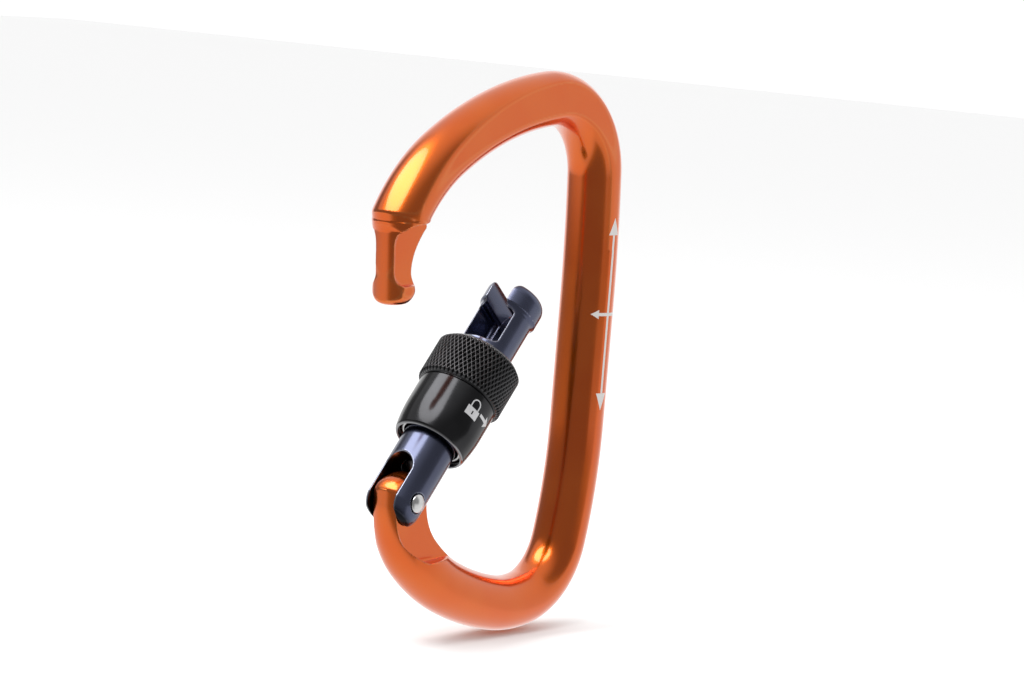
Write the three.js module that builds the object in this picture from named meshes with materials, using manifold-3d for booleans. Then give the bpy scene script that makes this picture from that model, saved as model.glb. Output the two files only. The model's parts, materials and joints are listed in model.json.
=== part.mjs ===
// Screw-gate locking carabiner, millimetres, +Z up along its long side.
// The frame lies in the plane Y = 0 with the gate on the -X side and the straight spine on the +X side.
// The gate is shown held open.
import * as THREE from 'three';
import Module from 'manifold-3d';
import { mergeVertices } from 'three/addons/utils/BufferGeometryUtils.js';

const wasm = await Module();
wasm.setup();

// ---- driving dimensions -------------------------------------------------------------------------

const barRadius = 5.8; // round bar that the frame is bent from
const barSides = 24;
const barSteps = 88;
// centreline of the bar from the nose over the top, down the spine and round to the hinge tang,
// as arcs that turn clockwise and straights
const barStart = { x: -35.345, z: 25.371, heading: 61.2 };
const barStretches = [
  { straight: 3 }, // inside the nose
  { radius: 36.8, turn: 29.8 }, // nose arm
  { radius: 83.3, turn: 24.7 }, // top arm
  { radius: 17.2, turn: 92.3 }, // top bend
  { radius: 346, turn: 4.7 },
  { straight: 25 }, // spine
  { radius: 107.2, turn: 13.6 },
  { radius: 16, turn: 65.9 }, // bottom bend
  { radius: 29.7, turn: 20.4 },
  { radius: 74.4, turn: 12.8 }, // bottom
  { radius: 41.3, turn: 18.4 },
  { radius: 17, turn: 46 }, // hinge corner
  { straight: 8 }, // hinge tang
];

const hinge = { x: -27.7, z: -28.5 }; // rivet axis, along Y
const openAngle = 41.7; // gate axis from +Z towards +X, as stored
const closedAngle = -5; // gate axis with the nose in its slot

const gate = {
  radius: 5.8,
  headRadius: 6.4, // slightly proud collar round the tip
  headFrom: 48.6,
  headRim: 1.8,
  tip: 54, // distances along the gate axis from the hinge
  foot: -4.9,
  footRim: 2,
  forkHalfGap: 3.35,
  forkTop: 8.2,
  boreRadius: 2.6,
  boreEnd: 25,
};
const noseSlot = { lipHalfGap: 2.55, lipFrom: 47.8, pocketHalfGap: 4.4, floor: 39.3 };

const nose = {
  offset: -2.4, // of the nose's own axis from the closed gate's axis
  neckHalfThickness: 2.25,
  bulbHalfThickness: 4.03,
  bulbTop: 44.3,
  into: 58.5, // how far up the nose reaches inside the bar
  flareFrom: 55.4, // trimmed flush with the closed gate up to here, then flaring out
  flare: 0.15,
};
// radius of the nose about its own axis against distance from the hinge
const noseProfile = [
  [0, 40.3], [2.4, 40.6], [3.9, 41.7], [4.46, 43.4], [4.2, 44.8], [3.75, 46.2],
  [3.8, 47.6], [4.2, 49.5], [4.9, 51.2], [5.9, 52.8], [7.1, 54.3], [9, 56.5], [9, nose.into], [0, nose.into],
];
const shoulder = { x: -1, z: 52.1, radius: 4.7 }; // milled corner above the gate's tip

const tang = { halfThickness: 3.05, camRadius: 5.07, camRise: 1.91, edge: 0.9 };

const rivet = { shank: 1.4, hole: 1.7, head: 1.9, headFrom: 5.5, headTo: 6.4, seat: 2.15, seatDepth: 5.2 };

const sleeve = {
  bottom: 13.95,
  knurlFrom: 27,
  top: 36.95,
  bore: 6.15,
  counterbore: 7.15,
  counterboreTo: 18,
  footRadius: 7.85,
  waistRadius: 8.55,
  knurlRadius: 9.38,
};
const ring = { from: 15, to: 15.8, inner: 6.15, outer: 6.8 };

const plunger = { tip: 6.95, shoulder: 10, stemEnd: 14, headRadius: 2.25, stemRadius: 1.1 };
const spring = { from: 10.35, to: 24.6, meanRadius: 1.8, wire: 0.35, turns: 8 };

const degrees = Math.PI / 180;
const roundSides = 48; // facets round the gate's and the sleeve's circles

// ---- solids and meshes --------------------------------------------------------------------------

function solid(geometry) {
  const bare = geometry.index ? geometry.toNonIndexed() : geometry.clone();
  for (const name of Object.keys(bare.attributes)) {
    if (name !== 'position') bare.deleteAttribute(name);
  }
  const merged = mergeVertices(bare, 1e-4);
  return new wasm.Manifold(new wasm.Mesh({
    numProp: 3,
    vertProperties: new Float32Array(merged.attributes.position.array),
    triVerts: new Uint32Array(merged.index.array),
  }));
}

function mesh(name, body, material) {
  const { numProp, vertProperties, triVerts } = body.getMesh();
  const geometry = new THREE.BufferGeometry();
  geometry.setAttribute('position', new THREE.BufferAttribute(vertProperties, numProp));
  geometry.setIndex(new THREE.BufferAttribute(triVerts, 1));
  geometry.computeVertexNormals();
  const result = new THREE.Mesh(geometry, material);
  result.name = name;
  return result;
}

// A closed outline in the XZ plane, extruded in Y between two values.
function slab(outline, from, to) {
  const geometry = new THREE.ExtrudeGeometry(outline, { depth: to - from, bevelEnabled: false, curveSegments: 12 });
  return geometry.rotateX(Math.PI / 2).translate(0, to, 0);
}

function outline(points) {
  return new THREE.Shape(points.map(([x, z]) => new THREE.Vector2(x, z)));
}

// A profile of [radius, height] pairs turned about the Z axis.
function turned(profile, sides = roundSides) {
  return new THREE.LatheGeometry(profile.map(([r, z]) => new THREE.Vector2(r, z)), sides).rotateX(Math.PI / 2);
}

function tubeRing(inner, outer, from, to) {
  return turned([[inner, from], [outer, from], [outer, to], [inner, to], [inner, from]]);
}

function pin(radius, from, to, sides = 24) {
  return turned([[0, from], [radius, from], [radius, to], [0, to]], sides);
}

// The same shape on both sides of the plane Y = 0.
function bothSides(outlineShape, from, to) {
  return solid(slab(outlineShape, from, to)).add(solid(slab(outlineShape, -to, -from)));
}

// From the gate's own frame (axis along +Z, hinge at the origin) to the carabiner's.
function gatePlacement(angle) {
  return new THREE.Matrix4()
    .makeRotationY(angle * degrees)
    .setPosition(hinge.x, 0, hinge.z);
}

function placed(body, matrix) {
  return body.transform(matrix.elements);
}

// ---- frame --------------------------------------------------------------------------------------

// Centreline of the bar, parametrised by length.
class BarCentreline extends THREE.Curve {
  constructor(start, stretches) {
    super();
    this.stretches = [];
    let { x, z, heading } = start;
    for (const { radius, turn, straight } of stretches) {
      const length = straight ?? radius * turn * degrees;
      const stretch = { x, z, heading: heading * degrees, radius, length };
      this.stretches.push(stretch);
      const end = BarCentreline.along(stretch, length);
      x = end.x;
      z = end.z;
      heading -= turn ?? 0;
    }
    this.total = this.stretches.reduce((sum, { length }) => sum + length, 0);
  }

  static along({ x, z, heading, radius }, distance) {
    if (radius === undefined) {
      return new THREE.Vector3(x + distance * Math.cos(heading), 0, z + distance * Math.sin(heading));
    }
    const turnedTo = heading - distance / radius;
    return new THREE.Vector3(
      x + radius * (Math.sin(heading) - Math.sin(turnedTo)),
      0,
      z - radius * (Math.cos(heading) - Math.cos(turnedTo)),
    );
  }

  getPoint(t) {
    let distance = t * this.total;
    for (const stretch of this.stretches) {
      if (distance <= stretch.length) return BarCentreline.along(stretch, distance);
      distance -= stretch.length;
    }
    const last = this.stretches.at(-1);
    return BarCentreline.along(last, last.length);
  }
}

function bar() {
  const section = new THREE.Shape();
  section.absarc(0, 0, barRadius, 0, 2 * Math.PI);
  return solid(new THREE.ExtrudeGeometry(section, {
    steps: barSteps,
    curveSegments: barSides / 2,
    extrudePath: new BarCentreline(barStart, barStretches),
  }));
}

// What may stand beside the closed gate: its own radius, flaring out above its tip.
function noseEnvelope(to) {
  const flared = gate.radius + nose.flare * (to - nose.flareFrom);
  return solid(turned([
    [0, noseSlot.floor], [gate.radius, noseSlot.floor], [gate.radius, nose.flareFrom], [flared, to], [0, to],
  ]));
}

// The nose is turned, trimmed flush with the closed gate and milled thin between its bulb and the shoulder.
function noseSolid() {
  return solid(turned(noseProfile, 32).translate(nose.offset, 0, 0)).intersect(noseEnvelope(nose.into));
}

// The outer side of the bar's start, outside the same envelope.
function startTrim() {
  const to = nose.into + 4;
  const outer = outline([[-15, noseSlot.floor + 4], [-15, to], [0, to], [0, noseSlot.floor + 4]]);
  return solid(slab(outer, -8, 8)).subtract(noseEnvelope(to + 1));
}

function shoulderCut() {
  const reach = 12;
  const cut = new THREE.Shape();
  cut.moveTo(-reach, nose.bulbTop);
  cut.lineTo(-reach, shoulder.z);
  cut.lineTo(shoulder.x - shoulder.radius, shoulder.z);
  cut.absarc(shoulder.x, shoulder.z, shoulder.radius, Math.PI, Math.PI / 2, true);
  cut.lineTo(reach, shoulder.z + shoulder.radius);
  cut.lineTo(reach, nose.bulbTop);
  return bothSides(cut, nose.neckHalfThickness, reach);
}

function bulbCut() {
  const bulb = outline([[-12, 35], [-12, nose.bulbTop + 1], [12, nose.bulbTop + 1], [12, 35]]);
  return bothSides(bulb, nose.bulbHalfThickness, 12);
}

// The milled flats beside the tang, with a rounded corner where they run out in the bar.
function tangPocket() {
  const pocket = new THREE.Shape();
  pocket.moveTo(-45, -15);
  pocket.lineTo(-45, -33.8);
  pocket.lineTo(-30.7, -33.8);
  pocket.quadraticCurveTo(-28.8, -39.4, -21.9, -41.4);
  pocket.lineTo(-12, -40.6);
  pocket.lineTo(-6, -15);
  return bothSides(pocket, tang.halfThickness, 12);
}

// The tang's rounded top is a cam: its radius about the hinge grows towards the open side.
// Its upper edges are eased in steps towards the flats.
function tangTop() {
  const layer = (inset, halfThickness) => {
    const points = [];
    for (let a = -60; a <= 66; a += 6) {
      const r = tang.camRadius + tang.camRise * Math.max(a - closedAngle, 0) * degrees - inset;
      points.push([hinge.x + r * Math.sin(a * degrees), hinge.z + r * Math.cos(a * degrees)]);
    }
    points.push([-10, -28], [-10, -46], [-46, -46], [-46, -26.6]);
    return solid(slab(outline(points), -halfThickness, halfThickness));
  };
  const { halfThickness, edge } = tang;
  return layer(0, halfThickness - 2 * edge)
    .add(layer(edge / 3, halfThickness - edge))
    .add(layer(edge, 12));
}

function frameBody() {
  const closed = gatePlacement(closedAngle);
  const aboveTang = solid(slab(outline([[-45, -45], [-45, -5], [-12, -5], [-12, -45]]), -12, 12));
  const trimmedAway = aboveTang.subtract(tangTop());
  const rivetHole = solid(pin(rivet.hole, -12, 12).rotateX(Math.PI / 2).translate(hinge.x, 0, hinge.z));
  return bar()
    .subtract(placed(startTrim(), closed))
    .add(placed(noseSolid(), closed))
    .subtract(placed(shoulderCut(), closed))
    .subtract(placed(bulbCut(), closed))
    .subtract(tangPocket())
    .subtract(trimmedAway)
    .subtract(rivetHole);
}

// ---- gate, in its own frame ----------------------------------------------------------------------

function gateTube() {
  const { radius, headRadius, headFrom, headRim, tip, foot, footRim, boreRadius, boreEnd } = gate;
  const blank = solid(turned([
    [0, foot], [radius - footRim, foot], [radius, foot + footRim],
    [radius, headFrom - 0.5], [headRadius, headFrom],
    [headRadius, tip - headRim], [headRadius - 0.3 * headRim, tip - 0.3 * headRim], [headRadius - headRim, tip],
    [0, tip],
  ]));
  const fork = new THREE.Shape();
  const forkCentre = gate.forkTop - gate.forkHalfGap;
  fork.moveTo(-gate.forkHalfGap, foot - 1);
  fork.lineTo(-gate.forkHalfGap, forkCentre);
  fork.absarc(0, forkCentre, gate.forkHalfGap, Math.PI, 0, true);
  fork.lineTo(gate.forkHalfGap, foot - 1);
  const forkCut = solid(slab(fork, -8, 8).rotateZ(Math.PI / 2));

  // seen from the front, the slot for the nose is open on the outer side and closed by a web on the inner side
  const { lipHalfGap, lipFrom, pocketHalfGap, floor } = noseSlot;
  const inside = [[0, floor], [2.3, floor + 1], [2.9, floor + 3]];
  const lips = outline([[-8, floor], ...inside, [2.9, 49], [3.8, 51], [6, 53.2], [7.5, tip + 1], [-8, tip + 1]]);
  const pocket = outline([[-8, floor], ...inside, [2.9, lipFrom], [-8, lipFrom]]);

  const bore = solid(pin(boreRadius, 0, boreEnd));
  const rivetHole = solid(pin(rivet.hole, -8, 8).rotateX(Math.PI / 2));
  const seats = solid(pin(rivet.seat, rivet.seatDepth, 8).rotateX(Math.PI / 2))
    .add(solid(pin(rivet.seat, -8, -rivet.seatDepth).rotateX(Math.PI / 2)));
  return blank
    .subtract(forkCut)
    .subtract(solid(slab(lips, -lipHalfGap, lipHalfGap)))
    .subtract(solid(slab(pocket, -pocketHalfGap, pocketHalfGap)))
    .subtract(bore)
    .subtract(rivetHole)
    .subtract(seats);
}

function lockingSleeve() {
  const s = sleeve;
  return solid(turned([
    [s.counterbore, s.bottom], [s.footRadius - 0.4, s.bottom], [s.footRadius, s.bottom + 0.4],
    [s.waistRadius, s.bottom + 5.5], [s.waistRadius, s.knurlFrom - 0.6], [s.knurlRadius - 0.5, s.knurlFrom],
    [s.knurlRadius, s.knurlFrom + 0.5], [s.knurlRadius, s.top - 0.8], [s.knurlRadius - 1, s.top],
    [s.bore + 0.6, s.top], [s.bore, s.top - 0.6], [s.bore, s.counterboreTo],
    [s.counterbore, s.counterboreTo], [s.counterbore, s.bottom],
  ]));
}

function sleeveRing() {
  return solid(tubeRing(ring.inner, ring.outer, ring.from, ring.to));
}

function springPlunger() {
  const { tip, shoulder: step, stemEnd, headRadius, stemRadius } = plunger;
  return solid(turned([
    [0, tip], [0.9, tip], [headRadius, tip + 1.3], [headRadius, step], [stemRadius, step], [stemRadius, stemEnd],
    [0, stemEnd],
  ], 24));
}

class Helix extends THREE.Curve {
  getPoint(t) {
    const a = 2 * Math.PI * spring.turns * t;
    const start = spring.from + spring.wire;
    const rise = spring.to - spring.wire - start;
    return new THREE.Vector3(spring.meanRadius * Math.cos(a), spring.meanRadius * Math.sin(a), start + rise * t);
  }
}

function gateSpring() {
  const section = new THREE.Shape();
  section.absarc(0, 0, spring.wire, 0, 2 * Math.PI);
  return solid(new THREE.ExtrudeGeometry(section, { steps: 14 * spring.turns, curveSegments: 3, extrudePath: new Helix() }));
}

// ---- hinge rivet ---------------------------------------------------------------------------------

function hingeRivet() {
  const { shank, head, headFrom, headTo } = rivet;
  const dome = [[head, headFrom], [head, headFrom + 0.45], [0.75 * head, headTo - 0.2], [0.4 * head, headTo], [0, headTo]];
  const mirrored = dome.map(([r, y]) => [r, -y]).reverse();
  return solid(turned([...mirrored, [shank, -headFrom], [shank, headFrom], ...dome], 24).rotateX(Math.PI / 2));
}

// ---- materials and assembly ----------------------------------------------------------------------

const metal = (color, roughness) => new THREE.MeshStandardMaterial({ color, roughness, metalness: 1 });
const orangeAnodised = metal(0xd9601f, 0.22);
const navyAnodised = metal(0x343a52, 0.28);
const blackAnodised = metal(0x17181a, 0.35);
const stainless = metal(0xc4c6c8, 0.25);
const springSteel = metal(0x9a9c9e, 0.35);

const carabiner = new THREE.Group();
carabiner.add(mesh('frame_body', frameBody(), orangeAnodised));

const rivetMesh = mesh('hinge_rivet', hingeRivet(), stainless);
rivetMesh.position.set(hinge.x, 0, hinge.z);
carabiner.add(rivetMesh);

const gateGroup = new THREE.Group();
gateGroup.position.set(hinge.x, 0, hinge.z);
gateGroup.rotation.y = openAngle * degrees;
gateGroup.add(mesh('gate_tube', gateTube(), navyAnodised));
gateGroup.add(mesh('locking_sleeve', lockingSleeve(), blackAnodised));
gateGroup.add(mesh('sleeve_ring', sleeveRing(), stainless));
gateGroup.add(mesh('spring_plunger', springPlunger(), stainless));
gateGroup.add(mesh('gate_spring', gateSpring(), springSteel));
carabiner.add(gateGroup);

export default carabiner;
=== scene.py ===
import json
import math

import bpy
import numpy as np
import openvdb
from mathutils import Matrix, Vector


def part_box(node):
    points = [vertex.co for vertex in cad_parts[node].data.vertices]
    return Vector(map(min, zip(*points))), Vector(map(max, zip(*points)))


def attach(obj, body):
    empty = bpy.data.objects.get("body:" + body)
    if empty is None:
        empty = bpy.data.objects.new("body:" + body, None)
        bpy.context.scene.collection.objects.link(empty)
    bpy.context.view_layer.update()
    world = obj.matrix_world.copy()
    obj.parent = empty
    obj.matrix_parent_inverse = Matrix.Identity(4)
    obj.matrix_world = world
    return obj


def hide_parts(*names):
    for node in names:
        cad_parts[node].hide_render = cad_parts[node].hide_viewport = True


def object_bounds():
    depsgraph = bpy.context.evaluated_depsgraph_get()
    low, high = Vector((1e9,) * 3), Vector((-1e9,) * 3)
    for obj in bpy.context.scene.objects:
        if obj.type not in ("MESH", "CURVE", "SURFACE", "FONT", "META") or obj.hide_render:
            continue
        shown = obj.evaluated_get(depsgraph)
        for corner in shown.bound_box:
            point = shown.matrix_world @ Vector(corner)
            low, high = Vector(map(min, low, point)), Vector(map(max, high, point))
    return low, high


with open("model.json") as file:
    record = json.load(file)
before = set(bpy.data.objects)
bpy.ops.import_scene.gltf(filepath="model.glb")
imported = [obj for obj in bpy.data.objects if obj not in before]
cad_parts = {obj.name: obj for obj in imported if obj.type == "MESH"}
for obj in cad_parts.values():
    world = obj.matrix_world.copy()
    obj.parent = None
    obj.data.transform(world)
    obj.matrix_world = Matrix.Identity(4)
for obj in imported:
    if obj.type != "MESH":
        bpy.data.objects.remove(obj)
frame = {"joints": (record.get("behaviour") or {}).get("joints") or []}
cadBox = [list(corner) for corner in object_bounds()]
print("frame loaded")

mm = 0.001  # the dictionaries below are in millimetres
joints = {joint["name"]: joint for joint in frame["joints"]}
probe = {"fine": 0.02, "normal": 0.04, "edge": 0.1}  # steps over which a field's slope is measured
edgeHighlight = {"from": 0.8, "over": 2.5}  # the curvature where the painted edge highlight begins, and how fast it grows


def roundMax(a, b, radius):  # fields are distances in mm, negative inside; this keeps what both hold
    corner = np.hypot(np.maximum(a + radius, 0), np.maximum(b + radius, 0))
    return np.minimum(np.maximum(a, b), -radius) + corner


def roundMin(a, b, radius):  # a and b joined, with a fillet between them
    return -roundMax(-a, -b, radius)


def cutBy(body, cutter, edge):  # body with the cutter taken out, its new edges broken
    return roundMax(body, -cutter, edge)


def outlineField(u, v, points):  # distance to a closed outline in a plane
    shape = np.broadcast(u, v).shape
    nearest = np.full(shape, np.inf)
    inside = np.zeros(shape, bool)
    for (u0, v0), (u1, v1) in zip(points, points[1:] + points[:1]):
        du, dv = u1 - u0, v1 - v0
        along = np.clip(((u - u0) * du + (v - v0) * dv) / (du * du + dv * dv), 0, 1)
        nearest = np.minimum(nearest, np.hypot(u - u0 - along * du, v - v0 - along * dv))
        if dv != 0:
            crossing = (v0 > v) != (v1 > v)
            inside ^= crossing & (u < u0 + (v - v0) * du / dv)
    return np.where(inside, -nearest, nearest)


def arcPoints(centre, radius, start, end, steps):
    angles = np.radians(np.linspace(start, end, steps + 1))
    return [(centre[0] + radius * math.cos(a), centre[1] + radius * math.sin(a)) for a in angles]


def bendPoints(start, control, end, steps=8):  # a quadratic curve
    points = []
    for t in np.linspace(0, 1, steps + 1):
        first, second, third = (1 - t) ** 2, 2 * t * (1 - t), t * t
        points.append(tuple(first * start[i] + second * control[i] + third * end[i] for i in range(2)))
    return points


def smoothThrough(points, t):  # a smooth curve through (t, value) pairs, level beyond its ends
    ts, values = np.array(points, float).T
    slopes = np.gradient(values, ts)
    slopes[0] = slopes[-1] = 0
    t = np.clip(t, ts[0], ts[-1])
    i = np.clip(np.searchsorted(ts, t) - 1, 0, len(ts) - 2)
    step = ts[i + 1] - ts[i]
    f = (t - ts[i]) / step
    low = values[i] * (1 + 2 * f) * (1 - f) ** 2 + slopes[i] * step * f * (1 - f) ** 2
    return low + values[i + 1] * f * f * (3 - 2 * f) + slopes[i + 1] * step * f * f * (f - 1)


def showPiece(name, points, faces, place=None):
    mesh = bpy.data.meshes.new(name)
    faces = faces if isinstance(faces, list) else faces.tolist()
    mesh.from_pydata((np.asarray(points) * mm).tolist(), [], faces)
    mesh.validate()
    mesh.polygons.foreach_set("use_smooth", np.ones(len(mesh.polygons), bool))
    piece = bpy.data.objects.new(name, mesh)
    bpy.context.scene.collection.objects.link(piece)
    if place is not None:
        piece.matrix_world = place
    return piece


def pointValues(piece, name, values):  # a number on each vertex, for the finish
    attribute = piece.data.attributes.new(name, "FLOAT", "POINT")
    attribute.data.foreach_set("value", np.asarray(values, np.float32))


def slopeOf(field, points, step):
    x, y, z = points.T
    slope = np.empty_like(points)
    total = np.zeros(len(points))
    for axis in range(3):
        shift = np.zeros(3)
        shift[axis] = step
        ahead = field(x + shift[0], y + shift[1], z + shift[2])
        behind = field(x - shift[0], y - shift[1], z - shift[2])
        slope[:, axis] = (ahead - behind) / (2 * step)
        total += ahead + behind
    return slope, total


def settle(field, points, rounds=2):  # moves points along the slope onto the surface
    for _ in range(rounds):
        slope, _ = slopeOf(field, points, probe["fine"])
        steep = np.maximum((slope * slope).sum(1), 0.05)
        move = field(*points.T) / steep
        points = points - slope * np.clip(move, -0.4, 0.4)[:, None]
    return points


def relax(points, faces, field, rounds):  # evens the faces out along the surface
    edges = np.concatenate([faces[:, [i, (i + 1) % 4]] for i in range(4)])
    count = np.bincount(edges.ravel(), minlength=len(points))
    for _ in range(rounds):
        middle = np.empty_like(points)
        for axis in range(3):
            sums = np.bincount(edges[:, 0], points[edges[:, 1], axis], len(points))
            sums += np.bincount(edges[:, 1], points[edges[:, 0], axis], len(points))
            middle[:, axis] = sums / count
        slope, _ = slopeOf(field, points, probe["fine"])
        normal = slope / np.maximum(np.linalg.norm(slope, axis=1), 1e-6)[:, None]
        move = middle - points
        move -= normal * (move * normal).sum(1)[:, None]
        points = settle(field, points + 0.5 * move, 1)
    return points


def skin(name, field, low, high, cell, place=None, rounds=4):  # the surface of a field, as quads
    pad = 3 * cell
    x, y, z = (np.arange(a - pad, b + pad, cell) for a, b in zip(low, high))
    values = field(x[:, None, None], y[None, :, None], z[None, None, :])
    values = np.broadcast_to(values, (len(x), len(y), len(z)))
    grid = openvdb.FloatGrid(pad)
    grid.copyFromArray(np.ascontiguousarray(values, np.float32))
    points, faces = grid.convertToQuads(isovalue=0)
    faces = faces.astype(int)
    points = np.array([x[0], y[0], z[0]]) + points.astype(float) * cell
    points = relax(settle(field, points), faces, field, rounds)
    points = settle(field, points, 2)
    _, total = slopeOf(field, points, probe["edge"])
    bend = (total - 6 * field(*points.T)) / probe["edge"] ** 2  # curvature, high along broken edges
    piece = showPiece(name, points, faces, place)
    slope, _ = slopeOf(field, points, probe["normal"])
    normals = slope / np.maximum(np.linalg.norm(slope, axis=1), 1e-6)[:, None]
    piece.data.normals_split_custom_set_from_vertices(normals.tolist())
    # the edge value marks where a painted highlight is laid along broken edges
    pointValues(piece, "edge", np.clip((bend - edgeHighlight["from"]) / edgeHighlight["over"], 0, 1))
    print(name, len(faces), "faces")
    return piece


def turn(name, rings, place, sides=192, closed=False):  # rings of (radius, height), turned about the axis
    angles = np.linspace(0, 2 * math.pi, sides, endpoint=False)
    radius, height = np.array(rings, float).T
    points = np.stack([radius[:, None] * np.cos(angles), radius[:, None] * np.sin(angles),
                       np.broadcast_to(height[:, None], (len(rings), sides))], -1)
    return lattice(name, points, place, closed)


def lattice(name, points, place, closed):  # a grid that goes round, with its ends closed or joined
    rows, sides = points.shape[:2]
    index = np.arange(rows * sides).reshape(rows, sides)
    after = np.roll(index, -1, 1)
    faces = np.stack([index[:-1], after[:-1], after[1:], index[1:]], -1).reshape(-1, 4).tolist()
    if closed:
        faces += np.stack([index[-1], after[-1], after[0], index[0]], -1).tolist()
    else:
        faces += [index[0][::-1].tolist(), index[-1].tolist()]
    return showPiece(name, points.reshape(-1, 3), faces, place)


def softCorners(points, radius, steps=5, closed=False):  # rounds the corners of a profile
    points = [np.array(p, float) for p in points]
    result = [] if closed else [points[0]]
    count = len(points)
    for i in range(0 if closed else 1, count if closed else count - 1):
        before, here, after = points[i - 1], points[i], points[(i + 1) % count]
        lead = before - here
        trail = after - here
        reach = min(radius, 0.45 * np.linalg.norm(lead), 0.45 * np.linalg.norm(trail))
        start = here + lead / np.linalg.norm(lead) * reach
        end = here + trail / np.linalg.norm(trail) * reach
        result += [np.array(p) for p in bendPoints(start, here, end, steps)]
    return result if closed else result + [points[-1]]


class Wire:  # an output in a material; sums on it add Math nodes
    def __init__(self, finish, output):
        self.finish = finish
        self.output = output

    def sum(self, operation, *values):
        return self.finish.add("ShaderNodeMath", {"operation": operation}, dict(enumerate(values)))

    def __add__(self, other):
        return self.sum("ADD", self, other)

    def __radd__(self, other):
        return self.sum("ADD", other, self)

    def __sub__(self, other):
        return self.sum("SUBTRACT", self, other)

    def __rsub__(self, other):
        return self.sum("SUBTRACT", other, self)

    def __mul__(self, other):
        return self.sum("MULTIPLY", self, other)

    def __rmul__(self, other):
        return self.sum("MULTIPLY", other, self)

    def __truediv__(self, other):
        return self.sum("DIVIDE", self, other)

    def __rtruediv__(self, other):
        return self.sum("DIVIDE", other, self)

    def __pow__(self, other):
        return self.sum("POWER", self, other)

    def __neg__(self):
        return self.sum("MULTIPLY", self, -1)

    def __abs__(self):
        return self.sum("ABSOLUTE", self)

    def least(self, other):
        return self.sum("MINIMUM", self, other)

    def most(self, other):
        return self.sum("MAXIMUM", self, other)

    def ramp(self, low, high):  # 0 at low, 1 at high, smooth between them
        inputs = {"Value": self, "From Min": low, "From Max": high}
        return self.finish.add("ShaderNodeMapRange", {"interpolation_type": "SMOOTHSTEP"}, inputs)


class Finish:  # a node tree being written, for a material or for the world
    def __init__(self, owner):
        owner.use_nodes = True
        self.owner = owner
        self.tree = owner.node_tree

    def add(self, kind, settings=None, inputs=None, output=0):
        node = self.tree.nodes.new(kind)
        for name, value in (settings or {}).items():
            setattr(node, name, value)
        for name, value in (inputs or {}).items():
            self.feed(node.inputs[name], value)
        return Wire(self, node.outputs[output])

    def feed(self, socket, value):
        if isinstance(value, Wire):
            self.tree.links.new(value.output, socket)
        else:
            socket.default_value = value

    def mix(self, factor, first, second):  # colours
        a, b = (v if isinstance(v, Wire) else (*v, 1) for v in (first, second))
        return self.add("ShaderNodeMix", {"data_type": "RGBA"}, {"Factor": factor, 6: a, 7: b}, 2)

    def place(self):  # the point in the piece's own frame, in metres
        return self.add("ShaderNodeTexCoord", output="Object")

    def axes(self):
        separate = self.add("ShaderNodeSeparateXYZ", inputs={0: self.place()})
        return [Wire(self, socket) for socket in separate.output.node.outputs]

    def noise(self, scale, detail=3, stretch=(1, 1, 1), roughness=0.5):
        spot = self.add("ShaderNodeVectorMath", {"operation": "MULTIPLY"}, {0: self.place(), 1: stretch})
        inputs = {"Vector": spot, "Scale": scale, "Detail": detail, "Roughness": roughness}
        return self.add("ShaderNodeTexNoise", inputs=inputs)

    def value(self, name):
        return self.add("ShaderNodeAttribute", {"attribute_name": name}, output="Fac")

    def bump(self, height, strength, distance):
        inputs = {"Height": height, "Strength": strength, "Distance": distance}
        return self.add("ShaderNodeBump", inputs=inputs, output="Normal")

    def shade(self, **values):  # socket names without their spaces
        shader = self.tree.nodes["Principled BSDF"]
        sockets = {socket.name.replace(" ", ""): socket for socket in shader.inputs}
        for name, value in values.items():
            self.feed(sockets[name], value)


def newFinish(name):
    return Finish(bpy.data.materials.new(name))


def wear(piece, finish, body, slot, *nodes):  # dresses a piece and hangs it on the frame
    piece.data.materials.clear()
    piece.data.materials.append(finish.owner)
    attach(piece, body)
    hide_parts(*nodes)


hingePoint = Vector(joints["gate_hinge"]["pos_m"])
gateAlong = Vector(joints["sleeve_travel"]["axis"]).normalized()
gateSwing = math.radians(joints["gate_hinge"]["range_deg"][1])


def gatePlace(swing=0.0):  # the gate's own frame: Z along it from the hinge, X towards the inside
    along = Matrix.Rotation(-swing, 3, "Y") @ gateAlong
    across = Vector((along.z, 0, -along.x))
    place = Matrix((across, (0, 1, 0), along)).transposed().to_4x4()
    place.translation = hingePoint
    return place


openGate = gatePlace()
closedGate = gatePlace(gateSwing)


def closedGateAxes(x, z):  # across and along the closed gate
    across, along = closedGate.col[0], closedGate.col[2]
    dx, dz = x - hingePoint.x / mm, z - hingePoint.z / mm
    return dx * across.x + dz * across.z, dx * along.x + dz * along.z


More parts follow.
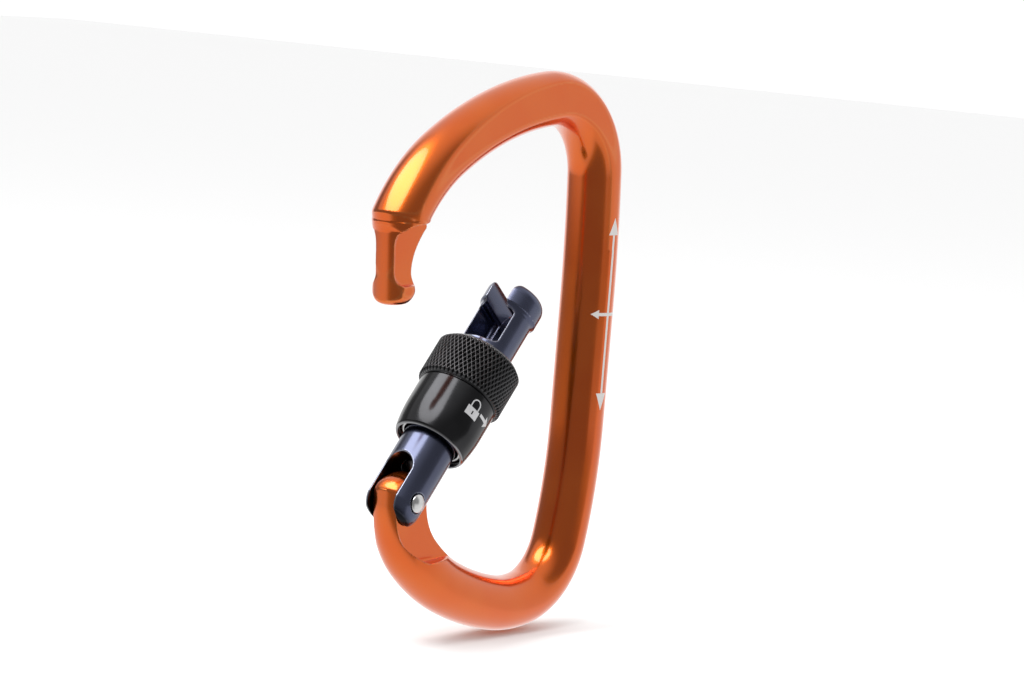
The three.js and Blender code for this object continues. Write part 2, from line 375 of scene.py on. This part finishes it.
bar = {
    "radius": 5.8,
    "start": (-33.9, 28.0),
    "lead": 3,  # straight stock in front of the first bend
    "back": 15,  # how far that straight is followed backwards before it is cut off
    "endReach": 17.4,  # the end is cut only this near the start
    "endEdge": 2.2,
    "heading": 61.2,
    "stretches": [  # clockwise arcs as (radius, turn), and straights as (0, length)
        (36.8, 29.8), (83.3, 24.7), (17.2, 92.3), (346, 4.7), (0, 25), (107.2, 13.6),
        (16, 65.9), (29.7, 20.4), (74.4, 12.8), (41.3, 18.4), (17, 46), (0, 8),
    ],
    "cell": 0.3,
}
nose = {
    "offset": -2.4,  # of its own axis from the gate's
    "neckHalf": 2.25,
    "bulbHalf": 4.03,
    "bulbTop": 44.3,
    "end": 40.3,
    "endCurve": 11,
    "endCorner": 2.1,
    "into": 57.3,
    "trim": 5.8,  # flush with the closed gate, then leaning out into the bar
    "trimFrom": 45,
    "trimEdge": 0.25,
    "leanFrom": 55.4,
    "lean": 0.15,
    "joinFillet": 0.35,
    "skinEdge": 0.3,
    "profile": [  # (distance along the gate, radius)
        (41.5, 4.46), (43.4, 4.46), (44.8, 4.2), (46.2, 3.78), (47.6, 3.8), (49.5, 4.2),
        (51.2, 4.9), (52.8, 5.9), (54.3, 7.1), (56.5, 9),
    ],
    "ceiling": 56.8,
    "ceilingCorner": 4.7,
    "neckCorner": 3,
    "fillet": 1.1,
    "outerLimit": -5.7,
    "bulbFrom": 35,
    "bulbOverlap": 1,
    "flatsReach": 12,  # the flats are milled only this near the gate's axis
}
tang = {
    "half": 3.05,
    "camRadius": 5.07,
    "camRise": 1.91,  # for each radian beyond the closed angle
    "camAngles": range(-60, 67, 6),
    "closedAngle": -5,
    "root": [(-10, -28), (-10, -60), (-46, -60), (-46, -26.6)],
    "block": ((-28.5, 16.5), (-25, 20)),  # what the cam is cut from, (middle, half) along X and Z
    "crown": 0.9,
    "crownPower": 2.5,
    "hole": 1.7,
    "holeEdge": 0.15,
    "pocketFillet": 0.45,
    "pocketEdge": 0.2,
}
brokenEdge = 0.28


def barDistance(x, z):  # to the bar's centreline, in its plane
    px, pz = bar["start"]
    heading = math.radians(bar["heading"])
    along = (x - px) * math.cos(heading) + (z - pz) * math.sin(heading)
    off = (z - pz) * math.cos(heading) - (x - px) * math.sin(heading)
    onLead = (along < 0) & (along > -bar["back"])
    nearest = np.where(onLead, np.abs(off), np.hypot(x - px, z - pz))
    for radius, amount in bar["stretches"]:
        if radius == 0:
            along = (x - px) * math.cos(heading) + (z - pz) * math.sin(heading)
            off = np.abs((z - pz) * math.cos(heading) - (x - px) * math.sin(heading))
            nearest = np.where((along > 0) & (along < amount), np.minimum(nearest, off), nearest)
            px, pz = px + amount * math.cos(heading), pz + amount * math.sin(heading)
        else:
            cx, cz = px + radius * math.sin(heading), pz - radius * math.cos(heading)
            turned = (heading + math.pi / 2 - np.arctan2(z - cz, x - cx)) % (2 * math.pi)
            off = np.abs(np.hypot(x - cx, z - cz) - radius)
            swept = math.radians(amount)
            nearest = np.where(turned < swept, np.minimum(nearest, off), nearest)
            heading -= swept
            px, pz = cx - radius * math.sin(heading), cz + radius * math.cos(heading)
        nearest = np.minimum(nearest, np.hypot(x - px, z - pz))
    return nearest


def noseTrim(q, y, s):  # the round envelope that keeps the nose flush with the closed gate
    lean = nose["lean"] * np.maximum(s - nose["leanFrom"], 0)
    return np.hypot(q + lean, y) - nose["trim"]


def noseField(q, y, s):
    turned = np.hypot(q - nose["offset"], y) - smoothThrough(nose["profile"], s)
    cap = np.hypot(np.hypot(q - nose["offset"], y), s - nose["end"] - nose["endCurve"]) - nose["endCurve"]
    below = np.where(s < nose["end"] + nose["endCurve"], cap, -nose["endCurve"])
    body = roundMax(turned, below, nose["endCorner"])
    body = roundMax(body, noseTrim(q, y, s), nose["skinEdge"])
    return np.maximum(body, s - nose["into"])


def tangOutline():
    hx, hz = hingePoint.x / mm, hingePoint.z / mm
    points = []
    for a in tang["camAngles"]:
        radius = tang["camRadius"] + tang["camRise"] * math.radians(max(a - tang["closedAngle"], 0))
        points.append((hx + radius * math.sin(math.radians(a)), hz + radius * math.cos(math.radians(a))))
    return points + tang["root"]


def pocketOutline():
    corner = bendPoints((-30.7, -33.8), (-28.8, -39.4), (-21.9, -41.4))
    return [(-45, -15), (-45, -33.8)] + corner + [(-12, -40.6), (-6, -15)]


def frameField(x, y, z):
    side = np.abs(y)
    body = np.hypot(barDistance(x, z), y) - bar["radius"]
    heading = math.radians(bar["heading"])
    sx, sz = bar["start"]
    behindStart = (sx - x) * math.cos(heading) + (sz - z) * math.sin(heading) - bar["lead"]
    nearStart = bar["endReach"] - np.hypot(x - sx, z - sz)
    body = roundMax(body, np.minimum(behindStart, nearStart), bar["endEdge"])
    q, s = closedGateAxes(x, z)
    outside = np.minimum(noseTrim(np.minimum(q, 0), y, s), s - nose["trimFrom"])
    body = roundMax(body, outside, nose["trimEdge"])
    body = roundMin(body, noseField(q, y, s), nose["joinFillet"])

    flats = roundMax(s - nose["ceiling"], nose["outerLimit"] - q, nose["ceilingCorner"])
    flats = roundMax(flats, nose["bulbTop"] - s, nose["neckCorner"])
    flats = roundMax(nose["neckHalf"] - side, flats, nose["fillet"])
    near = np.abs(q) - nose["flatsReach"]
    body = cutBy(body, np.maximum(flats, near), brokenEdge)
    bulbPart = np.maximum(s - nose["bulbTop"] - nose["bulbOverlap"], nose["bulbFrom"] - s)
    bulb = np.maximum(nose["bulbHalf"] - side, bulbPart)
    body = cutBy(body, np.maximum(bulb, near), brokenEdge)

    pocket = roundMax(tang["half"] - side, outlineField(x, z, pocketOutline()), tang["pocketFillet"])
    body = cutBy(body, pocket, tang["pocketEdge"])
    crown = tang["crown"] * (side / tang["half"]) ** tang["crownPower"]
    top = outlineField(x, z, tangOutline()) + np.minimum(crown, tang["crown"])
    (blockX, halfX), (blockZ, halfZ) = tang["block"]
    aboveTang = np.maximum(np.abs(x - blockX) - halfX, np.abs(z - blockZ) - halfZ)
    body = cutBy(body, np.maximum(aboveTang, -top), brokenEdge)
    hole = np.hypot(x - hingePoint.x / mm, z - hingePoint.z / mm) - tang["hole"]
    return cutBy(body, hole, tang["holeEdge"])


def anodisedOrange():
    # the edge colour is a painted highlight for broken edges; the others are the anodising's own tones and
    # the print
    dyeAndPaintedLight = {"deep": (0.83, 0.13, 0.006), "light": (0.87, 0.17, 0.014), "edge": (0.93, 0.36, 0.12),
           "marks": (0.62, 0.60, 0.58)}
    finish = newFinish("orange_anodising")
    cloud = finish.noise(60, 2).ramp(0.35, 0.65)
    drawn = finish.noise(260, 3, (1, 1, 0.12))  # faint lines left by drawing the bar
    grain = finish.noise(2600, 2)
    colour = finish.mix(cloud * 0.6, dyeAndPaintedLight["deep"], dyeAndPaintedLight["light"])
    # a pale colour along broken edges: a painted highlight
    colour = finish.mix(finish.value("edge") * 0.35, colour, dyeAndPaintedLight["edge"])
    marks = spineMarks(finish)
    colour = finish.mix(marks, colour, dyeAndPaintedLight["marks"])
    height = drawn * 0.6 + grain * 0.4 - marks * 0.5
    rough = 0.19 + 0.05 * cloud + 0.05 * drawn + marks * 0.3
    finish.shade(BaseColor=colour, Metallic=1 - marks * 0.7, Roughness=rough,
                 Normal=finish.bump(height, 0.05, 0.0001))
    finish.shade(CoatWeight=0.8, CoatRoughness=0.08, CoatIOR=1.5)
    return finish


loadMarks = {
    "side": -1,  # of the spine, along Y
    "centre": 8.0,
    "half": 17,
    "line": 0.7,
    "head": 3.7,
    "headSlope": 2.2,
    "cross": 4.1,
    "crossStem": 1.4,  # the crosswise line ends this far short of its points
    "crossHead": 1.6,
    "crossSlope": 1.6,
    "edge": 0.06,
}


def spineMarks(finish):  # generic load arrows on one side of the spine
    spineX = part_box("frame_body")[1].x - bar["radius"] * mm
    x, y, z = finish.axes()
    u = (x - spineX) / mm
    v = (z - loadMarks["centre"] * mm) / mm
    line, head, half = loadMarks["line"], loadMarks["head"], loadMarks["half"]
    facing = (y * loadMarks["side"]).ramp(0, 0.001)
    shaft = (abs(u) - line / 2).most(abs(v) - half)
    ends = (abs(u) * loadMarks["headSlope"] + abs(v) - half - head).most(half - abs(v))
    wide = loadMarks["cross"]
    cross = (abs(v) - line / 2).most(abs(u) - wide + loadMarks["crossStem"])
    tips = (abs(v) * loadMarks["crossSlope"] + abs(u) - wide).most(wide - loadMarks["crossHead"] - abs(u))
    shape = shaft.least(ends).least(cross.least(tips))
    return shape.ramp(loadMarks["edge"], -loadMarks["edge"]) * facing


low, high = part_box("frame_body")
frameBody = skin("frame_forged", frameField, low / mm, high / mm, bar["cell"])
wear(frameBody, anodisedOrange(), "frame", "frame_anodised", "frame_body")
print("frame body made")


gate = {
    "radius": 5.8,
    "headRadius": 6.3,
    "headFrom": 49.2,
    "headSlope": 0.8,
    "headFillet": 1,
    "tip": 54,
    "tipRound": 2,
    "foot": -4.9,
    "chamfer": 2,
    "chamferRound": 1.2,
    "forkHalf": 3.35,
    "forkTop": 8.2,
    "bore": 2.6,
    "boreEnd": 25,
    "boreEdge": 0.15,
    "rivetHole": 1.7,
    "holeEdge": 0.1,
    "rivetSeat": 2.15,
    "seatDepth": 5.2,
    "seatEdge": 0.12,
    "cell": 0.2,
}
slot = {  # the nose slot: a wide pocket with two lips over it, its outlines as (across, along)
    "open": -9,  # past the side where the nose comes in
    "floor": [(0, 39.3), (2.3, 40.3), (2.9, 42.3)],
    "mouth": [(2.9, 49), (3.8, 51), (6, 53.2)],
    "mouthAcross": 7.5,
    "lipHalf": 2.55,
    "lipFlare": 0.8,
    "flareFrom": 51,
    "lipFrom": 47.8,
    "lipFillet": 0.8,
    "pocketHalf": 4.4,
    "pocketRound": 0.9,
    "edge": 0.4,
}


def gateField(q, y, s):
    side = np.abs(y)
    rho = np.hypot(q, y)
    collar = np.maximum(rho - gate["headRadius"], (gate["headFrom"] - s) * gate["headSlope"])
    body = roundMin(rho - gate["radius"], collar, gate["headFillet"])
    body = roundMax(body, s - gate["tip"], gate["tipRound"])
    body = np.maximum(body, gate["foot"] - s)
    chamfer = (rho - gate["radius"] + gate["foot"] + gate["chamfer"] - s) / math.sqrt(2)
    body = roundMax(body, chamfer, gate["chamferRound"])

    forkCentre = gate["forkTop"] - gate["forkHalf"]
    fork = np.hypot(y, np.maximum(s - forkCentre, 0)) - gate["forkHalf"]
    body = cutBy(body, fork, brokenEdge)
    past = gate["tip"] + 2
    start = [(slot["open"], slot["floor"][0][1])] + slot["floor"]
    back = slot["floor"][-1][0]
    lips = start + slot["mouth"] + [(slot["mouthAcross"], past), (slot["open"], past)]
    pocket = start + [(back, slot["lipFrom"]), (slot["open"], slot["lipFrom"])]
    opening = np.clip((s - slot["flareFrom"]) / (gate["tip"] - slot["flareFrom"]), 0, 1)
    lipHalf = slot["lipHalf"] + slot["lipFlare"] * opening ** 2
    lipCut = np.maximum(side - lipHalf, outlineField(q, s, lips))
    pocketCut = roundMax(side - slot["pocketHalf"], outlineField(q, s, pocket), slot["pocketRound"])
    body = cutBy(body, roundMin(lipCut, pocketCut, slot["lipFillet"]), slot["edge"])
    bore = np.maximum(rho - gate["bore"], s - gate["boreEnd"])
    body = cutBy(body, bore, gate["boreEdge"])
    rivetRadius = np.hypot(q, s)
    seat = np.maximum(rivetRadius - gate["rivetSeat"], gate["seatDepth"] - side)
    body = cutBy(body, seat, gate["seatEdge"])
    return cutBy(body, rivetRadius - gate["rivetHole"], gate["holeEdge"])


# painted shade for the gate's hollows, deep in the bore and slot
paintedShadeInside = {"depth": (0.3, 1.3), "height": (6, 1)}  # below the skin and above the fork: from, and in full


def anodisedNavy():
    # the edge colour is a painted highlight for broken edges, the inside colour painted shade for the
    # gate's hollows
    dyeAndPaintedLight = {"deep": (0.088, 0.098, 0.16), "light": (0.112, 0.124, 0.2), "edge": (0.5, 0.52, 0.6),
           "inside": (0.008, 0.009, 0.012)}
    finish = newFinish("navy_anodising")
    cloud = finish.noise(90, 2).ramp(0.35, 0.65)
    turned = finish.noise(420, 2, (0.25, 0.25, 1))  # rings left by the lathe
    grain = finish.noise(3200, 2)
    colour = finish.mix(cloud * 0.5, dyeAndPaintedLight["deep"], dyeAndPaintedLight["light"])
    # a pale colour along broken edges: a painted highlight
    colour = finish.mix(finish.value("edge") * 0.5, colour, dyeAndPaintedLight["edge"])
    q, y, s = finish.axes()
    shallow, deep = (gate["radius"] - depth for depth in paintedShadeInside["depth"])
    high, low = (gate["forkTop"] + height for height in paintedShadeInside["height"])
    # painted shade: near black deep under the skin, inside the bore and slot above the fork
    insideShade = ((q * q + y * y) ** 0.5 / mm).ramp(shallow, deep) * (s / mm).ramp(high, low)
    colour = finish.mix(insideShade, colour, dyeAndPaintedLight["inside"])
    height = turned * 0.6 + grain * 0.4
    finish.shade(BaseColor=colour, Roughness=0.2 + 0.05 * cloud + 0.05 * turned,
                 Normal=finish.bump(height, 0.06, 0.0001))
    # the coat is thinned where the painted shade lies
    finish.shade(Metallic=1, CoatWeight=0.45 - insideShade * 0.4, CoatRoughness=0.08, CoatIOR=1.5)
    return finish


reach = gate["headRadius"]
gateTube = skin("gate_barrel", gateField, (-reach, -reach, gate["foot"]), (reach, reach, gate["tip"]),
                gate["cell"], openGate)
wear(gateTube, anodisedNavy(), "gate", "gate_anodised", "gate_tube")
print("gate made")


sleeve = {
    "bottom": 13.95,
    "knurlFrom": 27,
    "top": 36.95,
    "bore": 6.15,
    "counterbore": 7.15,
    "counterboreTo": 18,
    "foot": 7.85,
    "waist": 8.55,
    "knurl": 9.38,
    "starts": 58,
    "lean": 30,  # of the knurl's lines from the axis, in degrees
    "depth": 0.46,
    "flank": (0.25, 0.62),  # where a ridge's side begins, and its width, as shares of half a pitch
    "root": 0.3,  # the least height of the knurl over the waist
    "sides": 696,
}


def sleeveRings():  # (radius, height, share of the knurl)
    s = sleeve
    taper = bendPoints((s["foot"], s["bottom"] + 0.4), (s["waist"], s["bottom"] + 3.6),
                       (s["waist"], s["bottom"] + 7), 12)
    outside = [(s["counterbore"] + 0.1, s["bottom"]), (s["foot"] - 0.35, s["bottom"])] + taper
    outside += [(s["waist"], s["knurlFrom"] - 0.55), (s["waist"] - 0.12, s["knurlFrom"] - 0.35),
                (s["waist"] - 0.12, s["knurlFrom"])]
    outside = softCorners(outside, 0.25, 3)
    band = [(s["knurl"] - 0.35, s["knurlFrom"]), (s["knurl"], s["knurlFrom"] + 0.4)]
    band += [(s["knurl"], height) for height in np.arange(s["knurlFrom"] + 0.5, s["top"] - 1, 0.09)]
    crest = [(s["knurl"], s["top"] - 0.9), (s["knurl"] - 0.9, s["top"]), (s["bore"] + 0.6, s["top"]),
             (s["bore"], s["top"] - 0.6)]
    crest = softCorners(crest, 0.2, 3)
    inside = [(s["bore"], s["top"] - 0.6), (s["bore"], s["counterboreTo"]),
              (s["counterbore"], s["counterboreTo"]), (s["counterbore"], s["bottom"] + 0.1)]
    inside = softCorners(inside, 0.15, 3)
    rings = [(*p, 0) for p in outside] + [(*p, 1) for p in band] + [(*p, 0) for p in crest + inside[1:]]
    return np.array(rings, float)


def knurledSleeve():
    radius, height, share = sleeveRings().T
    angles = np.linspace(0, 2 * math.pi, sleeve["sides"], endpoint=False)
    pitch = 2 * math.pi * sleeve["knurl"] / sleeve["starts"]
    lean = math.tan(math.radians(sleeve["lean"])) / pitch
    around = sleeve["starts"] * angles / (2 * math.pi)
    nearest = np.zeros((len(radius), len(angles)))
    for hand in (-1, 1):
        phase = (around[None, :] + hand * lean * height[:, None]) % 1
        line = np.abs(phase - 0.5) * 2  # 1 on a ridge's line, 0 half way to the next
        nearest = np.maximum(nearest, line)
    flankFrom, flankWidth = sleeve["flank"]
    crest = np.clip((nearest - flankFrom) / flankWidth, 0, 1)
    drop = sleeve["depth"] * share[:, None] * (1 - crest)
    r = radius[:, None] - drop
    r = np.where(share[:, None] > 0, np.maximum(r, sleeve["waist"] + sleeve["root"]), r)
    heights = np.broadcast_to(height[:, None], r.shape)
    points = np.stack([r * np.cos(angles), r * np.sin(angles), heights], -1)
    piece = lattice("sleeve_knurled", points, openGate, True)
    pointValues(piece, "ridge", (share[:, None] * crest).ravel())
    pointValues(piece, "band", np.broadcast_to(share[:, None], r.shape).ravel())
    return piece


signs = {  # generic padlock and turning arrow on the plain part, millimetres round and along
    "turn": -109,  # where they sit round the axis, in degrees
    "height": 21.95,
    "body": (1.65, 1.05),
    "shackle": (1.0, 0.3),
    "shackleLeg": 0.95,
    "keyhole": (0.16, 0.42),
    "arrow": (2.2, 4.4, 6.1),  # its end, the base of its head and its point
    "arrowHeight": 1.05,
    "arrowHalf": 0.35,
    "arrowSlope": 1.3,
    "overlap": 0.1,
    "edge": 0.05,
}


def sleeveSigns(finish):
    q, y, s = finish.axes()
    angle = finish.add("ShaderNodeMath", {"operation": "ARCTAN2"}, {0: y, 1: q})
    u = (angle - math.radians(signs["turn"])) * sleeve["waist"]  # round the sleeve
    v = s / mm - signs["height"]  # along it
    halfWide, halfTall = signs["body"]
    box = (abs(u) - halfWide).most(abs(v) - halfTall)
    hole = (abs(u) - signs["keyhole"][0]).most(abs(v) - signs["keyhole"][1])
    radius, thick = signs["shackle"]
    rise = (v - halfTall - signs["shackleLeg"]).most(0)
    bow = abs((u * u + rise * rise) ** 0.5 - radius) - thick / 2
    bow = bow.most(halfTall - v)
    lock = box.most(-hole).least(bow)
    end, base, point = signs["arrow"]
    off = abs(v - signs["arrowHeight"])
    stem = (off - signs["arrowHalf"]).most(abs(u - (end + base) / 2) - (base - end) / 2 - signs["overlap"])
    head = (off * signs["arrowSlope"] + u - point).most(base - u)
    shape = lock.least(stem).least(head)
    plain = (s / mm).ramp(sleeve["knurlFrom"], sleeve["knurlFrom"] - 0.1)
    outside = ((q * q + y * y) ** 0.5 / mm).ramp(sleeve["counterbore"] + 0.3, sleeve["foot"])
    return shape.ramp(signs["edge"], -signs["edge"]) * plain * outside


def anodisedBlack():
    # the ridge colour is a painted highlight on the knurl's crests, the groove colour painted shade, the
    # rim colour a painted highlight at both ends
    dyeAndPaintedLight = {"deep": (0.03, 0.03, 0.032), "light": (0.04, 0.04, 0.043), "ridge": (0.11, 0.11, 0.115),
           "valley": (0.012, 0.012, 0.013), "rim": (0.3, 0.3, 0.31), "marks": (0.55, 0.55, 0.56)}
    finish = newFinish("black_anodising")
    cloud = finish.noise(150, 3).ramp(0.3, 0.7)
    turned = finish.noise(500, 2, (0.2, 0.2, 1))
    grain = finish.noise(4200, 2)
    ridge = finish.value("ridge")
    band = finish.value("band")
    marks = sleeveSigns(finish)
    colour = finish.mix(cloud, dyeAndPaintedLight["deep"], dyeAndPaintedLight["light"])
    # painted shade in the knurl's grooves
    colour = finish.mix(band * (1 - ridge).ramp(0.1, 0.9), colour, dyeAndPaintedLight["valley"])
    # painted highlight on the knurl's crests
    colour = finish.mix(ridge ** 4 * (0.5 + 0.4 * cloud), colour, dyeAndPaintedLight["ridge"])
    height = finish.axes()[2] / mm
    # paler bands at both ends of the sleeve: a painted edge highlight
    rim = height.ramp(sleeve["bottom"] + 0.4, sleeve["bottom"] + 0.2)
    rim = rim.most(height.ramp(sleeve["top"] - 1, sleeve["top"] - 0.8) * 0.5)
    colour = finish.mix(rim, colour, dyeAndPaintedLight["rim"])
    colour = finish.mix(marks, colour, dyeAndPaintedLight["marks"])
    rough = 0.17 + 0.03 * cloud + 0.1 * band + 0.2 * marks
    finish.shade(BaseColor=colour, Roughness=rough, Metallic=1 - 0.6 * marks,
                 Normal=finish.bump(turned * 0.6 + grain * 0.4, 0.03, 0.0001))
    finish.shade(CoatWeight=0.25, CoatRoughness=0.08, CoatIOR=1.5)
    return finish


lockingSleeve = knurledSleeve()
wear(lockingSleeve, anodisedBlack(), "sleeve", "sleeve_anodised", "locking_sleeve")
print("sleeve made")


rivet = {"shank": 1.4, "head": 1.9, "headFrom": 5.5, "headTo": 6.4, "rim": 0.3, "edge": 0.06}
ring = {"from": 15, "to": 15.8, "inner": 6.15, "outer": 6.8, "round": 0.28}
plunger = {"tip": 6.95, "tipRadius": 0.9, "nose": 1.3, "shoulder": 10, "stemEnd": 14, "head": 2.25,
           "stem": 1.1, "centre": 0.05, "round": 0.3}
spring = {"from": 10.35, "to": 24.6, "mean": 1.8, "wire": 0.35, "turns": 8}


def steel(name, shade, rough, stretch):
    finish = newFinish(name)
    cloud = finish.noise(900, 3, stretch)
    scratch = finish.noise(5200, 2, stretch)
    bright = tuple(min(1, 1.12 * c) for c in shade)
    height = cloud * 0.5 + scratch * 0.5
    finish.shade(BaseColor=finish.mix(cloud.ramp(0.3, 0.7), shade, bright),
                 Roughness=rough + 0.1 * cloud, Normal=finish.bump(height, 0.12, 0.00005))
    finish.shade(Metallic=1)
    return finish


def domedRivet():
    r = rivet
    rise = r["headTo"] - r["headFrom"] - r["rim"]
    curve = (r["head"] ** 2 + rise ** 2) / (2 * rise)
    spread = math.degrees(math.asin(r["head"] / curve))
    dome = [(radius, r["headTo"] - curve + height) for height, radius in
            arcPoints((0, 0), curve, spread, 1.5, 14)]
    half = [(r["shank"], r["headFrom"]), (r["head"] - r["edge"], r["headFrom"]),
            (r["head"], r["headFrom"] + r["edge"])] + dome
    rings = [(radius, -height) for radius, height in half[::-1]] + half
    place = Matrix.Translation(hingePoint) @ Matrix.Rotation(math.radians(90), 4, "X")
    return turn("rivet_domed", rings, place, 96)


def springWire():
    s = spring
    steps = 40 * s["turns"]
    t = np.linspace(0, 1, steps + 1)
    coil = 2 * math.pi * s["turns"] * t
    start, end = s["from"] + s["wire"], s["to"] - s["wire"]
    centre = np.stack([s["mean"] * np.cos(coil), s["mean"] * np.sin(coil), start + (end - start) * t], -1)
    ahead = np.gradient(centre, axis=0)
    ahead /= np.linalg.norm(ahead, axis=1)[:, None]
    out = np.stack([np.cos(coil), np.sin(coil), np.zeros_like(coil)], -1)
    up = np.cross(ahead, out)
    around = np.linspace(0, 2 * math.pi, 12, endpoint=False)
    section = np.cos(around)[None, :, None] * out[:, None]
    section = section + np.sin(around)[None, :, None] * up[:, None]
    return lattice("spring_wire", centre[:, None] + s["wire"] * section, openGate, False)


def retainingRing():
    r = ring
    section = [(r["inner"], r["from"]), (r["outer"], r["from"]),
               (r["outer"], r["to"]), (r["inner"], r["to"])]
    return turn("ring_retaining", softCorners(section, r["round"], 4, True), openGate, 144, True)


def turnedPlunger():
    p = plunger
    profile = [(p["centre"], p["tip"]), (p["tipRadius"], p["tip"]), (p["head"], p["tip"] + p["nose"]),
               (p["head"], p["shoulder"]), (p["stem"], p["shoulder"]), (p["stem"], p["stemEnd"]),
               (p["centre"], p["stemEnd"])]
    return turn("plunger_turned", softCorners(profile, p["round"], 4), openGate, 64)


evenGrain = (1, 1, 1)
stainless = steel("stainless", (0.74, 0.74, 0.73), 0.2, evenGrain)
ringSteel = steel("ring_steel", (0.58, 0.58, 0.58), 0.2, evenGrain)
darkSteel = steel("plunger_steel", (0.12, 0.12, 0.125), 0.3, (0.3, 0.3, 1))
springSteel = steel("spring_steel", (0.4, 0.4, 0.4), 0.3, evenGrain)
wear(domedRivet(), stainless, "frame", "rivet_stainless", "hinge_rivet")
wear(retainingRing(), ringSteel, "ring", "ring_steel", "sleeve_ring")
wear(turnedPlunger(), darkSteel, "plunger", "plunger_steel", "spring_plunger")
wear(springWire(), springSteel, "gate", "spring_steel", "gate_spring")
print("small parts made")


camera = {"turn": 53.49, "rise": 6.11, "roll": 4.58, "away": 769.5, "target": (7.33, 0, 2.42),
          "focal": 129.4, "sensor": 36}


def addCamera():
    turn, rise, roll = (math.radians(camera[key]) for key in ("turn", "rise", "roll"))
    back = Vector((-math.sin(turn) * math.cos(rise), -math.cos(turn) * math.cos(rise), math.sin(rise)))
    right = Vector((math.cos(turn), -math.sin(turn), 0))
    up = back.cross(right)
    tiltedRight = right * math.cos(roll) + up * math.sin(roll)
    tiltedUp = up * math.cos(roll) - right * math.sin(roll)
    data = bpy.data.cameras.new("camera")
    data.lens = camera["focal"]
    data.sensor_width = camera["sensor"]
    data.clip_start = 0.01
    data.clip_end = 100
    view = bpy.data.objects.new("camera", data)
    bpy.context.scene.collection.objects.link(view)
    place = Matrix((tiltedRight, tiltedUp, back)).transposed().to_4x4()
    place.translation = (Vector(camera["target"]) + back * camera["away"]) * mm
    view.matrix_world = place
    bpy.context.scene.camera = view
    return back


studio = {
    "shade": 0.24,  # the dark room behind the camera
    "white": (0.95, 0.95, 0.95, 1),
    "panels": ((0.833, 0.553, 0), (0.948, -0.317, 0)),  # a white wall fills what lies before both
    "panelEdge": (-0.03, 0.05),
    "panel": 0.8,
    "backdropEdge": (0.66, 0.81),
    "backdrop": 1.05,
    "sheet": (0.312, 0.668, -0.675),  # the white table ends towards the camera
    "sheetEdge": (-0.12, 0.15),
    "sheetBelow": (0.07, 0.23),
    "table": 0.92,
    "apron": (0.998, -0.06, 0),  # white table on the right, in front of the wall
    "apronEdge": (-0.05, 0.08),
    "apronBelow": (0.04, 0.16),
    "ceiling": (0.5, 1.0, 0.55),  # from and to which height it brightens, and by how much
    "glowTowards": (-0.287, 0.576, 0.766),
    "glowEdge": (0.83, 0.93),
    "glow": 0.75,
    "surround": 1.08,
    "overheadFrom": (-0.43, 0.144, 0.891),
    "overheadAway": 0.6,
    "overheadSize": (0.76, 0.42),
    "overheadPower": 3.6,
}


def addStudio(back):
    world = bpy.data.worlds.new("studio")
    bpy.context.scene.world = world
    finish = Finish(world)
    way = finish.add("ShaderNodeTexCoord", output="Generated")

    def towards(direction):
        dot = {"operation": "DOT_PRODUCT"}
        return finish.add("ShaderNodeVectorMath", dot, {0: way, 1: tuple(direction)}, "Value")

    wall = 1
    for normal in studio["panels"]:
        wall = towards(normal).ramp(*studio["panelEdge"]) * wall
    behind = towards(-back).ramp(*studio["backdropEdge"])
    down = towards((0, 0, -1))
    table = towards(studio["sheet"]).ramp(*studio["sheetEdge"]) * down.ramp(*studio["sheetBelow"])
    low, high, rise = studio["ceiling"]
    above = towards((0, 0, 1)).ramp(low, high) * rise + studio["shade"]
    glow = towards(studio["glowTowards"]).ramp(*studio["glowEdge"])
    apron = towards(studio["apron"]).ramp(*studio["apronEdge"]) * down.ramp(*studio["apronBelow"])
    level = (wall.most(apron) * studio["panel"]).most(behind * studio["backdrop"])
    level = level.most(table * studio["table"]).most(above).most(glow * studio["glow"])
    mirror = finish.add("ShaderNodeLightPath", output="Is Glossy Ray")  # the metal sees the studio
    strength = (1 - mirror) * studio["surround"] + mirror * level
    background = finish.tree.nodes["Background"]
    finish.feed(background.inputs["Strength"], strength)
    finish.feed(background.inputs["Color"], studio["white"])


def addSoftbox(name, direction, away, size, power, aim):
    data = bpy.data.lights.new(name, "AREA")
    data.shape = "ELLIPSE"
    data.size, data.size_y = size
    data.energy = power
    light = bpy.data.objects.new(name, data)
    bpy.context.scene.collection.objects.link(light)
    direction = Vector(direction).normalized()
    light.location = aim + direction * away
    light.rotation_euler = direction.to_track_quat("Z", "Y").to_euler()
    light.visible_camera = False


floorSheet = {"half": 3000, "gap": 0.4}  # the gap keeps it clear of the lowest point


def addFloor():
    size = floorSheet["half"] * mm
    level = cadBox[0][2] - floorSheet["gap"] * mm
    mesh = bpy.data.meshes.new("floor")
    corners = [(-size, -size), (size, -size), (size, size), (-size, size)]
    mesh.from_pydata([(x, y, level) for x, y in corners], [], [(0, 1, 2, 3)])
    floor = bpy.data.objects.new("floor", mesh)
    bpy.context.scene.collection.objects.link(floor)
    finish = newFinish("floor_paper")
    finish.shade(BaseColor=(0.93, 0.93, 0.93, 1), Roughness=0.9, SpecularIORLevel=0.1)
    mesh.materials.append(finish.owner)
    floor.visible_glossy = False


addStudio(addCamera())
gateMiddle = openGate @ Vector((0, 0, 25 * mm))
addSoftbox("overhead", studio["overheadFrom"], studio["overheadAway"], studio["overheadSize"],
           studio["overheadPower"], gateMiddle)
addFloor()
bpy.context.scene.view_settings.view_transform = "Standard"
print("studio set")
